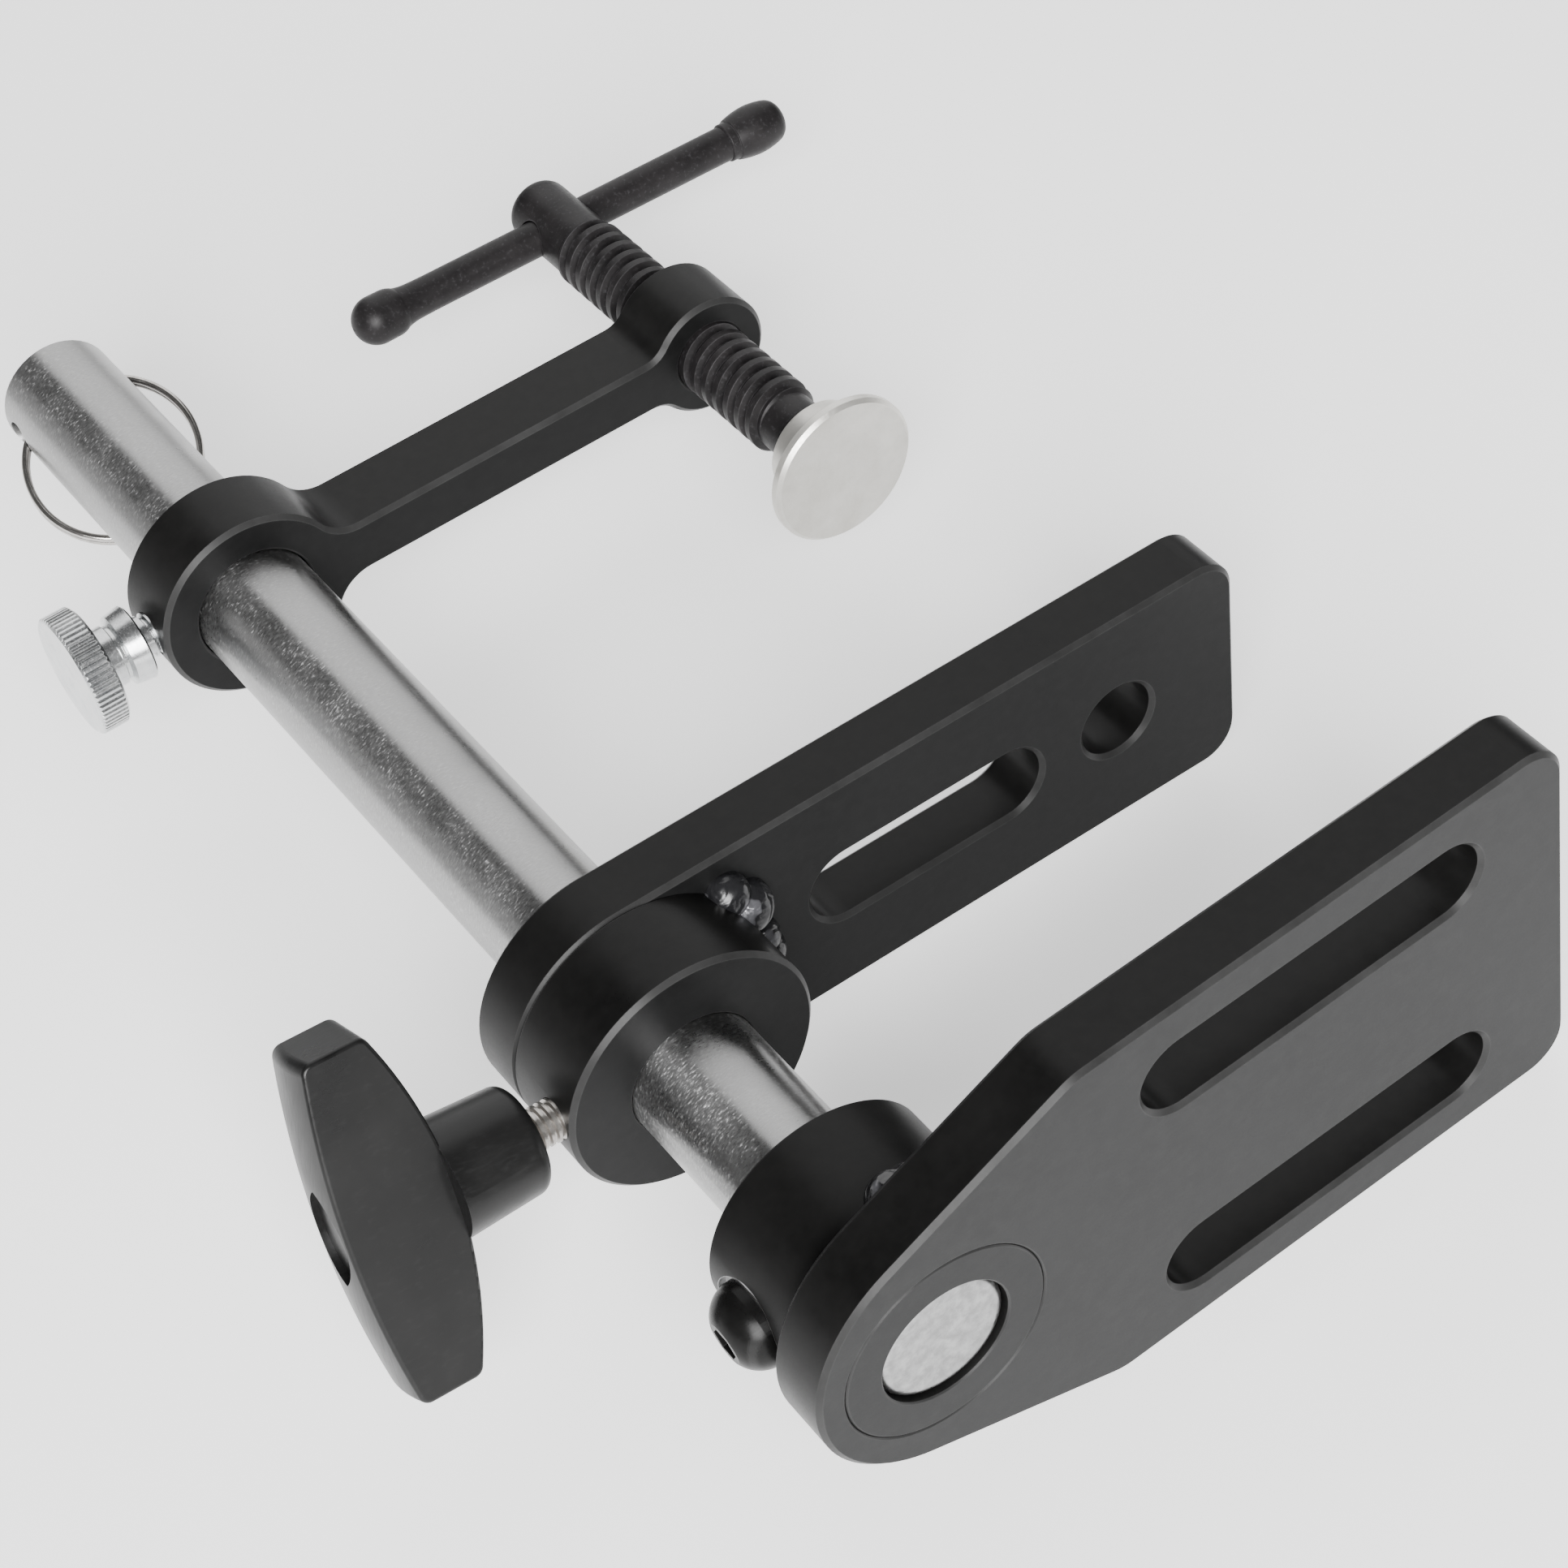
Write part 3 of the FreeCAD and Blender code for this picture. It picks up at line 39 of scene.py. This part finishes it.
# ------------------------------------------------------------ shader helpers
class Shader:
    """Small wrapper that builds one node material."""

    def __init__(self, name):
        self.mat = bpy.data.materials.new(name)
        self.mat.use_nodes = True
        self.tree = self.mat.node_tree
        self.tree.nodes.clear()
        self.out = self.add("ShaderNodeOutputMaterial")
        self.bsdf = self.add("ShaderNodeBsdfPrincipled")
        self.link(self.bsdf.outputs["BSDF"], self.out.inputs["Surface"])
        self.coord = self.add("ShaderNodeTexCoord")
        self.where = self.coord.outputs["Object"]
        self.geometry = self.add("ShaderNodeNewGeometry")

    def add(self, kind, **settings):
        node = self.tree.nodes.new(kind)
        for key, value in settings.items():
            setattr(node, key, value)
        return node

    def link(self, a, b):
        self.tree.links.new(a, b)

    def feed(self, socket, value):
        if hasattr(value, "is_linked"):
            self.link(value, socket)
        else:
            socket.default_value = value

    def math(self, operation, a, b=0.0, c=0.0, clamp=False):
        node = self.add("ShaderNodeMath", operation=operation, use_clamp=clamp)
        self.feed(node.inputs[0], a)
        self.feed(node.inputs[1], b)
        if len(node.inputs) > 2:
            self.feed(node.inputs[2], c)
        return node.outputs[0]

    def vector(self, operation, a, b=(0, 0, 0)):
        node = self.add("ShaderNodeVectorMath", operation=operation)
        self.feed(node.inputs[0], a)
        self.feed(node.inputs[1], b)
        return node.outputs["Value"] if operation == "DOT_PRODUCT" else node.outputs[0]

    def separate(self, vector):
        node = self.add("ShaderNodeSeparateXYZ")
        self.link(vector, node.inputs[0])
        return node.outputs[0], node.outputs[1], node.outputs[2]

    def combine(self, x, y, z):
        node = self.add("ShaderNodeCombineXYZ")
        for socket, value in zip(node.inputs, (x, y, z)):
            self.feed(socket, value)
        return node.outputs[0]

    def noise(self, vector, scale, detail=4.0, rough=0.55, distortion=0.0):
        node = self.add("ShaderNodeTexNoise")
        self.feed(node.inputs["Vector"], vector)
        node.inputs["Scale"].default_value = scale
        node.inputs["Detail"].default_value = detail
        node.inputs["Roughness"].default_value = rough
        node.inputs["Distortion"].default_value = distortion
        return node.outputs[0]

    def remap(self, value, low, high, to_low=0.0, to_high=1.0):
        node = self.add("ShaderNodeMapRange", clamp=True)
        self.feed(node.inputs["Value"], value)
        node.inputs["From Min"].default_value = low
        node.inputs["From Max"].default_value = high
        node.inputs["To Min"].default_value = to_low
        node.inputs["To Max"].default_value = to_high
        return node.outputs[0]

    def mix(self, factor, a, b):
        node = self.add("ShaderNodeMix", data_type="RGBA")
        self.feed(node.inputs[0], factor)
        self.feed(node.inputs[6], a)
        self.feed(node.inputs[7], b)
        return node.outputs[2]

    def blend(self, factor, a, b):
        node = self.add("ShaderNodeMix", data_type="FLOAT")
        self.feed(node.inputs[0], factor)
        self.feed(node.inputs[2], a)
        self.feed(node.inputs[3], b)
        return node.outputs[0]

    def bump(self, height, strength, distance, normal=None):
        node = self.add("ShaderNodeBump")
        node.inputs["Strength"].default_value = strength
        node.inputs["Distance"].default_value = distance
        self.link(height, node.inputs["Height"])
        if normal is not None:
            self.link(normal, node.inputs["Normal"])
        return node.outputs[0]

    def edges(self, radius, low=0.02, high=0.25):
        """1 along convex and concave edges, 0 on open faces."""
        bevel = self.add("ShaderNodeBevel", samples=6)
        bevel.inputs["Radius"].default_value = radius
        same = self.vector("DOT_PRODUCT", bevel.outputs[0], self.geometry.outputs["Normal"])
        return self.remap(self.math("SUBTRACT", 1.0, same), low, high)

    def round_edges(self, radius):
        bevel = self.add("ShaderNodeBevel", samples=4)
        bevel.inputs["Radius"].default_value = radius
        return bevel.outputs[0]

    def set(self, **values):
        """Feed the surface's inputs; _ stands for a space in a name."""
        for key, value in values.items():
            self.feed(self.bsdf.inputs[key.replace("_", " ")], value)


def grey(value, warm=0.0):
    return (value * (1 + warm), value, value * (1 - warm), 1.0)


# ---------------------------------------------------------------- materials
# the lock screw's seat on the end jaw's collar
seat_back = 0.0238
seat_turn = math.radians(2.4)
seat_radius = 0.00916
seat_inside_y = -0.012


def make_rod_steel():
    """Ground steel bar: fine short strokes round it, polished end face."""
    s = Shader("rod_steel")
    x, y, z = s.separate(s.where)
    angle = s.math("ARCTAN2", z, y)
    lean = s.math("MULTIPLY", angle, 0.0004)
    first = s.combine(s.math("ADD", x, lean), s.math("MULTIPLY", angle, 0.0030), 0.0)
    second = s.combine(s.math("SUBTRACT", x, lean), s.math("MULTIPLY", angle, 0.0048), 0.3)
    strokes = s.noise(first, 3300.0, 5.0, 0.70)
    crossing = s.noise(second, 2300.0, 5.0, 0.68)
    patches = s.noise(s.where, 95.0, 4.0, 0.6)
    broad = s.noise(s.combine(s.math("MULTIPLY", x, 0.4), y, z), 30.0, 4.0, 0.55)
    smudge = s.noise(s.where, 420.0, 5.0, 0.62)
    along = s.math("ABSOLUTE", s.separate(s.geometry.outputs["Normal"])[0])
    on_side = s.remap(along, 0.75, 0.93, 1.0, 0.0)
    lines = s.math("MULTIPLY", s.math("ADD", strokes, crossing), 0.5)
    weight = s.remap(patches, 0.32, 0.68, 0.96, 1.04)
    lines = s.math("MULTIPLY", lines, weight)
    # a few strokes stand out bright, the rest only grain the surface
    bright = s.math("MULTIPLY", s.remap(lines, 0.545, 0.64), on_side)
    base = s.mix(s.remap(lines, 0.42, 0.58), grey(0.29, 0.004), grey(0.38, 0.002))
    base = s.mix(s.remap(broad, 0.38, 0.64, 0.0, 0.30), base, grey(0.25, 0.01))
    base = s.mix(s.math("MULTIPLY", bright, 0.55), base, grey(0.70))
    face = s.mix(s.remap(smudge, 0.38, 0.66), grey(0.26), grey(0.40))
    base = s.mix(on_side, face, base)
    rough = s.blend(s.remap(lines, 0.42, 0.60), 0.27, 0.35)
    rough = s.blend(s.math("MULTIPLY", bright, 0.8), rough, 0.60)
    rough = s.math("ADD", rough, s.remap(patches, 0.3, 0.7, -0.02, 0.04))
    rough = s.blend(on_side, 0.33, rough)
    tangent = s.add("ShaderNodeTangent", direction_type="RADIAL", axis="X")
    s.link(tangent.outputs[0], s.bsdf.inputs["Tangent"])
    height = s.blend(on_side, smudge, lines)
    normal = s.bump(height, 0.10, 0.00005, s.round_edges(0.0002))
    s.set(
        Base_Color=base,
        Metallic=1.0,
        Roughness=rough,
        Anisotropic=s.math("MULTIPLY", on_side, 0.75),
        Anisotropic_Rotation=0.25,
        Normal=normal,
    )
    return s.mat


def make_black_metal(name, tone, face_tone_with_reflection=None, rough=0.40, edge_wear_and_highlight=0.55, spot_face=False):
    """Satin black oxide; chamfers and edges are painted lighter, partly wear and partly painted
    highlight.
    """
    s = Shader(name)
    x, y, z = s.separate(s.where)
    nx = s.math("ABSOLUTE", s.separate(s.geometry.outputs["True Normal"])[0])
    cloud = s.noise(s.where, 55.0, 5.0, 0.62)
    mottle = s.noise(s.where, 420.0, 4.0, 0.6)
    grain = s.noise(s.where, 2200.0, 3.0, 0.6)
    drawn = s.combine(s.math("MULTIPLY", x, 7.0), s.math("MULTIPLY", y, 0.35), z)
    streaks = s.noise(drawn, 700.0, 4.0, 0.6)
    base = s.mix(s.remap(cloud, 0.3, 0.7), grey(tone * 0.7, 0.02), grey(tone * 1.3, 0.02))
    base = s.mix(s.remap(mottle, 0.35, 0.75, 0.0, 0.35), base, grey(tone * 1.9, 0.03))
    base = s.mix(s.remap(streaks, 0.55, 0.80, 0.0, 0.25), base, grey(tone * 2.4))
    finish = s.math("ADD", rough, s.remap(cloud, 0.3, 0.7, -0.05, 0.06))
    finish = s.math("ADD", finish, s.remap(grain, 0.3, 0.7, -0.03, 0.03))
    if face_tone_with_reflection:
        # the wide faces across the rod are painted greyer: a painted reflection, with mottling
        # over it
        wide = s.remap(nx, 0.9, 0.99)
        skin_and_reflection = s.remap(cloud, 0.34, 0.66)
        skin_and_reflection = s.mix(skin_and_reflection, grey(face_tone_with_reflection * 0.78, -0.01), grey(face_tone_with_reflection * 1.15, -0.01))
        skin_and_reflection = s.mix(s.remap(mottle, 0.42, 0.72, 0.0, 0.35), skin_and_reflection, grey(face_tone_with_reflection * 1.5))
        skin_and_reflection = s.mix(s.remap(streaks, 0.50, 0.78, 0.0, 0.30), skin_and_reflection, grey(face_tone_with_reflection * 1.7))
        base = s.mix(wide, base, skin_and_reflection)
        finish = s.blend(wide, finish, s.math("ADD", finish, 0.06))
    # chamfers are painted lighter than the faces they join: partly rub wear, partly painted
    # highlight
    chamfer = s.math("MULTIPLY", s.remap(nx, 0.60, 0.66), s.remap(nx, 0.82, 0.75))
    patch = s.remap(s.noise(s.where, 70.0, 5.0, 0.68), 0.32, 0.68, 0.50, 1.0)
    chamfer = s.math("MULTIPLY", s.math("MULTIPLY", chamfer, patch), edge_wear_and_highlight)
    base = s.mix(chamfer, base, grey(0.055))
    # edges are painted lighter as well: partly rub wear, partly painted highlight
    rub = s.edges(0.00045, 0.015, 0.20)
    rub = s.math("MULTIPLY", s.math("MULTIPLY", rub, patch), edge_wear_and_highlight * 0.8)
    base = s.mix(rub, base, grey(0.13, 0.01))
    metal = s.math("MULTIPLY", rub, 0.45)
    if spot_face:
        # bright machined seat under the lock screw
        off_x = s.math("ADD", x, seat_back)
        across_z = s.math("MULTIPLY", z, -math.cos(seat_turn))
        across_y = s.math("MULTIPLY", y, math.sin(seat_turn))
        off_z = s.math("ADD", across_z, across_y)
        square = s.math("MULTIPLY", off_x, off_x)
        square = s.math("ADD", square, s.math("MULTIPLY", off_z, off_z))
        near = s.math("SQRT", square)
        inside = s.math("LESS_THAN", near, seat_radius)
        inside = s.math("MULTIPLY", inside, s.math("LESS_THAN", y, seat_inside_y))
        turning = s.noise(s.combine(near, 0.0, 0.0), 6000.0, 3.0, 0.6)
        bright = s.mix(s.remap(turning, 0.35, 0.65), grey(0.34), grey(0.60))
        base = s.mix(inside, base, bright)
        metal = s.math("MAXIMUM", metal, inside)
        finish = s.blend(inside, finish, 0.30)
    height = s.math("ADD", s.math("MULTIPLY", mottle, 0.5), s.math("MULTIPLY", grain, 0.35))
    normal = s.bump(height, 0.18, 0.00005, s.round_edges(0.00020))
    s.set(
        Base_Color=base,
        Metallic=metal,
        Roughness=finish,
        Specular_IOR_Level=0.12,
        Normal=normal,
    )
    return s.mat


def make_spindle_black(name="spindle_black"):
    """Dull black oxide on the screw and the tommy bar."""
    s = Shader(name)
    cloud = s.noise(s.where, 120.0, 5.0, 0.65)
    speck = s.noise(s.where, 1300.0, 4.0, 0.65)
    base = s.mix(s.remap(cloud, 0.3, 0.7), (0.0085, 0.0078, 0.0082, 1), (0.019, 0.0172, 0.0178, 1))
    base = s.mix(s.remap(speck, 0.56, 0.74, 0.0, 0.50), base, (0.062, 0.060, 0.064, 1))
    rub = s.math("MULTIPLY", s.edges(0.0005, 0.02, 0.3), s.remap(cloud, 0.4, 0.65, 0.1, 0.6))
    base = s.mix(rub, base, (0.13, 0.125, 0.13, 1))
    rough = s.math("ADD", 0.42, s.remap(speck, 0.3, 0.7, -0.05, 0.10))
    height = s.math("ADD", s.math("MULTIPLY", cloud, 0.6), s.math("MULTIPLY", speck, 0.4))
    s.set(
        Base_Color=base,
        Metallic=0.2,
        Roughness=rough,
        Specular_IOR_Level=0.2,
        Normal=s.bump(height, 0.30, 0.00010, s.round_edges(0.0002)),
    )
    return s.mat


def make_zinc():
    """Bright zinc plate on the thumb screw."""
    s = Shader("zinc")
    cloud = s.noise(s.where, 260.0, 4.0, 0.6)
    fine = s.noise(s.where, 2600.0, 3.0, 0.6)
    base = s.mix(s.remap(cloud, 0.3, 0.7), (0.50, 0.51, 0.52, 1), (0.68, 0.69, 0.69, 1))
    rub = s.edges(0.0003, 0.03, 0.3)
    base = s.mix(s.math("MULTIPLY", rub, 0.6), base, (0.93, 0.935, 0.93, 1))
    rough = s.math("ADD", 0.17, s.remap(fine, 0.3, 0.7, 0.0, 0.12))
    s.set(
        Base_Color=base,
        Metallic=1.0,
        Roughness=rough,
        Normal=s.bump(cloud, 0.10, 0.00008, s.round_edges(0.00012)),
    )
    return s.mat


def make_pad_nickel():
    """Warm, slightly uneven plating with a brighter rim."""
    s = Shader("pad_nickel")
    cloud = s.noise(s.where, 130.0, 5.0, 0.62)
    fine = s.noise(s.where, 1700.0, 4.0, 0.65)
    base = s.mix(s.remap(cloud, 0.32, 0.68), (0.60, 0.585, 0.545, 1), (0.73, 0.715, 0.675, 1))
    base = s.mix(s.remap(fine, 0.5, 0.75, 0.0, 0.3), base, (0.82, 0.81, 0.78, 1))
    rub = s.edges(0.0004, 0.02, 0.25)
    base = s.mix(s.math("MULTIPLY", rub, 0.6), base, (0.93, 0.92, 0.90, 1))
    rough = s.math("ADD", 0.40, s.remap(fine, 0.3, 0.7, -0.05, 0.08))
    rough = s.blend(s.math("MULTIPLY", rub, 0.6), rough, 0.24)
    height = s.math("ADD", s.math("MULTIPLY", cloud, 0.4), s.math("MULTIPLY", fine, 0.6))
    s.set(
        Base_Color=base,
        Metallic=0.85,
        Roughness=rough,
        Normal=s.bump(height, 0.25, 0.00007, s.round_edges(0.0002)),
    )
    return s.mat


def make_stud_nickel():
    """Warm dull nickel on the knob's stud."""
    s = Shader("stud_nickel")
    cloud = s.noise(s.where, 300.0, 4.0, 0.6)
    fine = s.noise(s.where, 2400.0, 4.0, 0.62)
    base = s.mix(s.remap(cloud, 0.3, 0.7), (0.36, 0.34, 0.32, 1), (0.52, 0.50, 0.475, 1))
    base = s.mix(s.remap(fine, 0.52, 0.74, 0.0, 0.35), base, (0.68, 0.66, 0.63, 1))
    rough = s.math("ADD", 0.27, s.remap(fine, 0.3, 0.7, 0.0, 0.10))
    s.set(Base_Color=base, Metallic=1.0, Roughness=rough, Normal=s.bump(fine, 0.1, 0.00004))
    return s.mat


def make_ring_steel():
    """Springy drawn wire of the split ring and the snap ring."""
    s = Shader("ring_steel")
    cloud = s.noise(s.where, 300.0, 4.0, 0.6)
    fine = s.noise(s.where, 2500.0, 3.0, 0.6)
    base = s.mix(s.remap(cloud, 0.3, 0.7), (0.36, 0.345, 0.33, 1), (0.58, 0.56, 0.54, 1))
    rough = s.math("ADD", 0.14, s.remap(fine, 0.3, 0.7, 0.0, 0.10))
    s.set(Base_Color=base, Metallic=1.0, Roughness=rough, Normal=s.bump(fine, 0.1, 0.00004))
    return s.mat


def make_black_plastic():
    """Moulded black plastic with a faint sheen and fine rubbed lines."""
    s = Shader("black_plastic")
    x, y, z = s.separate(s.where)
    cloud = s.noise(s.where, 60.0, 4.0, 0.55)
    grain = s.noise(s.where, 1500.0, 4.0, 0.6)
    drawn = s.combine(s.math("MULTIPLY", x, 6.0), y, s.math("MULTIPLY", z, 0.3))
    rubbed = s.noise(drawn, 420.0, 4.0, 0.6)
    base = s.mix(s.remap(cloud, 0.3, 0.7), grey(0.0045), grey(0.009, 0.01))
    base = s.mix(s.remap(rubbed, 0.54, 0.76, 0.0, 0.3), base, grey(0.018))
    scuff = s.math("MULTIPLY", s.edges(0.0006, 0.04, 0.35), s.remap(grain, 0.5, 0.7, 0.0, 0.35))
    base = s.mix(scuff, base, grey(0.05))
    rough = s.math("ADD", 0.34, s.remap(cloud, 0.3, 0.7, -0.05, 0.06))
    rough = s.math("ADD", rough, s.remap(rubbed, 0.4, 0.7, -0.03, 0.05))
    height = s.math("ADD", s.math("MULTIPLY", grain, 0.6), s.math("MULTIPLY", rubbed, 0.4))
    s.set(
        Base_Color=base,
        Metallic=0.0,
        Roughness=rough,
        Specular_IOR_Level=0.25,
        Normal=s.bump(height, 0.18, 0.00007),
    )
    return s.mat


def make_weld():
    """Painted-over weld bead with a scraped, shiny patch."""
    s = Shader("weld")
    cloud = s.noise(s.where, 130.0, 3.0, 0.5)
    lump = s.noise(s.where, 260.0, 2.0, 0.45, 0.6)
    scuffed = s.remap(cloud, 0.55, 0.63, 0.0, 0.70)
    base = s.mix(scuffed, (0.010, 0.010, 0.011, 1), (0.20, 0.20, 0.215, 1))
    rough = s.blend(scuffed, 0.24, 0.28)
    s.set(
        Base_Color=base,
        Metallic=s.math("MULTIPLY", scuffed, 0.8),
        Roughness=rough,
        Normal=s.bump(s.math("ADD", lump, s.math("MULTIPLY", cloud, 0.4)), 0.7, 0.0014),
    )
    return s.mat


def make_nylon():
    """Natural nylon of the two screw tips."""
    s = Shader("nylon")
    cloud = s.noise(s.where, 400.0, 3.0, 0.5)
    base = s.mix(s.remap(cloud, 0.3, 0.7), (0.70, 0.68, 0.60, 1), (0.80, 0.78, 0.71, 1))
    s.set(
        Base_Color=base,
        Roughness=s.remap(cloud, 0.3, 0.7, 0.42, 0.55),
        Subsurface_Weight=0.15,
        Subsurface_Scale=0.002,
        Normal=s.bump(cloud, 0.1, 0.00008),
    )
    return s.mat


jaw = make_black_metal("black_jaw", 0.0045, 0.014, 0.36, 0.45)
middle = make_black_metal("black_jaw_middle", 0.0045, 0.0070, 0.34, 0.45)
collar = make_black_metal("black_collar", 0.0045, 0.012, 0.36, 0.45, True)
arm = make_black_metal("black_arm", 0.0060, 0.0060, 0.38, 0.50)
screw = make_black_metal("black_screw", 0.004, None, 0.30, 0.30)
rod_steel = make_rod_steel()
zinc = make_zinc()
stud_nickel = make_stud_nickel()
nickel = make_pad_nickel()
ring_steel = make_ring_steel()
plastic = make_black_plastic()
spindle_black = make_spindle_black()
weld = make_weld()
nylon = make_nylon()

finishes = {
    "rod": (rod_steel, "rod_steel"),
    "end_jaw_plate": (jaw, "black_jaw"),
    "end_jaw_collar": (collar, "black_jaw"),
    "end_jaw_screw": (screw, "black_screw"),
    "end_jaw_weld": (weld, "weld"),
    "middle_jaw_plate": (middle, "black_jaw"),
    "middle_jaw_collar": (middle, "black_jaw"),
    "middle_jaw_weld_upper": (weld, "weld"),
    "middle_jaw_weld_lower": (weld, "weld"),
    "knob_stud": (stud_nickel, "zinc"),
    "knob_tip": (nylon, "nylon"),
    "knob_grip": (plastic, "black_plastic"),
    "screw_arm": (arm, "black_arm"),
    "thumb_screw": (zinc, "zinc"),
    "thumb_screw_tip": (nylon, "nylon"),
    "clamp_spindle": (spindle_black, "spindle_black"),
    "tommy_bar": (spindle_black, "spindle_black"),
    "tommy_bar_cap": (spindle_black, "spindle_black"),
    "swivel_pad": (nickel, "pad_nickel"),
    "pad_snap_ring": (ring_steel, "ring_steel"),
    "split_ring": (ring_steel, "ring_steel"),
}
for node, (material, slot) in finishes.items():
    thing = nodes[node]
    thing.data.materials.clear()
    thing.data.materials.append(material)


# -------------------------------------------------------------------- stage
def make_floor():
    """Plain pale floor that glows a little, so that it stays light."""
    s = Shader("floor")
    cloud = s.noise(s.where, 3.0, 3.0, 0.5)
    s.set(
        Base_Color=s.mix(s.remap(cloud, 0.3, 0.7), grey(0.88), grey(0.91)),
        Roughness=0.6,
        Emission_Color=(1.0, 1.0, 1.0, 1.0),
        Emission_Strength=0.8,
    )
    return s.mat


floor_size = 14.0
floor_gap = 0.0004
low = bounds_at_load[0].z
bpy.ops.mesh.primitive_plane_add(size=floor_size, location=(-0.15, 0.05, low - floor_gap))
floor = bpy.context.object
floor.name = "floor"
floor.data.materials.append(make_floor())

target = Vector((-0.15, 0.045, 0.0))


# each lamp looks at the target from its own direction: size in metres, watts
def softbox(name, direction, distance, size, power):
    data = bpy.data.lights.new(name, "AREA")
    data.shape = "RECTANGLE"
    data.size, data.size_y = size
    data.energy = power
    lamp = bpy.data.objects.new(name, data)
    bpy.context.scene.collection.objects.link(lamp)
    away = Vector(direction).normalized()
    lamp.location = target + away * distance
    lamp.rotation_mode = "QUATERNION"
    lamp.rotation_quaternion = away.to_track_quat("Z", "Y")
    return lamp


softbox("overhead", (-0.605, 0.38, 0.62), 1.6, (1.5, 2.2), 21)
softbox("key", (0.80, -0.40, 0.55), 1.9, (1.2, 1.2), 110)
softbox("left_fill", (-0.60, -0.76, 0.22), 1.5, (1.0, 0.6), 1.2)

world = bpy.data.worlds.new("studio")
bpy.context.scene.world = world
world.use_nodes = True
background = world.node_tree.nodes["Background"]
background.inputs["Color"].default_value = (1, 1, 1, 1)
background.inputs["Strength"].default_value = 0.14

# ------------------------------------------------------------------- camera
camera_at = (0.295091, -0.142732, 0.503863)
camera_data = bpy.data.cameras.new("camera")
camera_data.sensor_width = 36.0
camera_data.lens = 84.203
camera_data.clip_start = 0.01
camera_data.clip_end = 50.0
camera = bpy.data.objects.new("camera", camera_data)
bpy.context.scene.collection.objects.link(camera)
right = Vector((0.574242, 0.802876, -0.160113))
down = Vector((0.551188, -0.523756, -0.649516))
ahead = Vector((-0.605341, 0.284727, -0.743298))
turn = Matrix((right, -down, -ahead)).transposed()
camera.matrix_world = Matrix.Translation(camera_at) @ turn.to_4x4()
bpy.context.scene.camera = camera
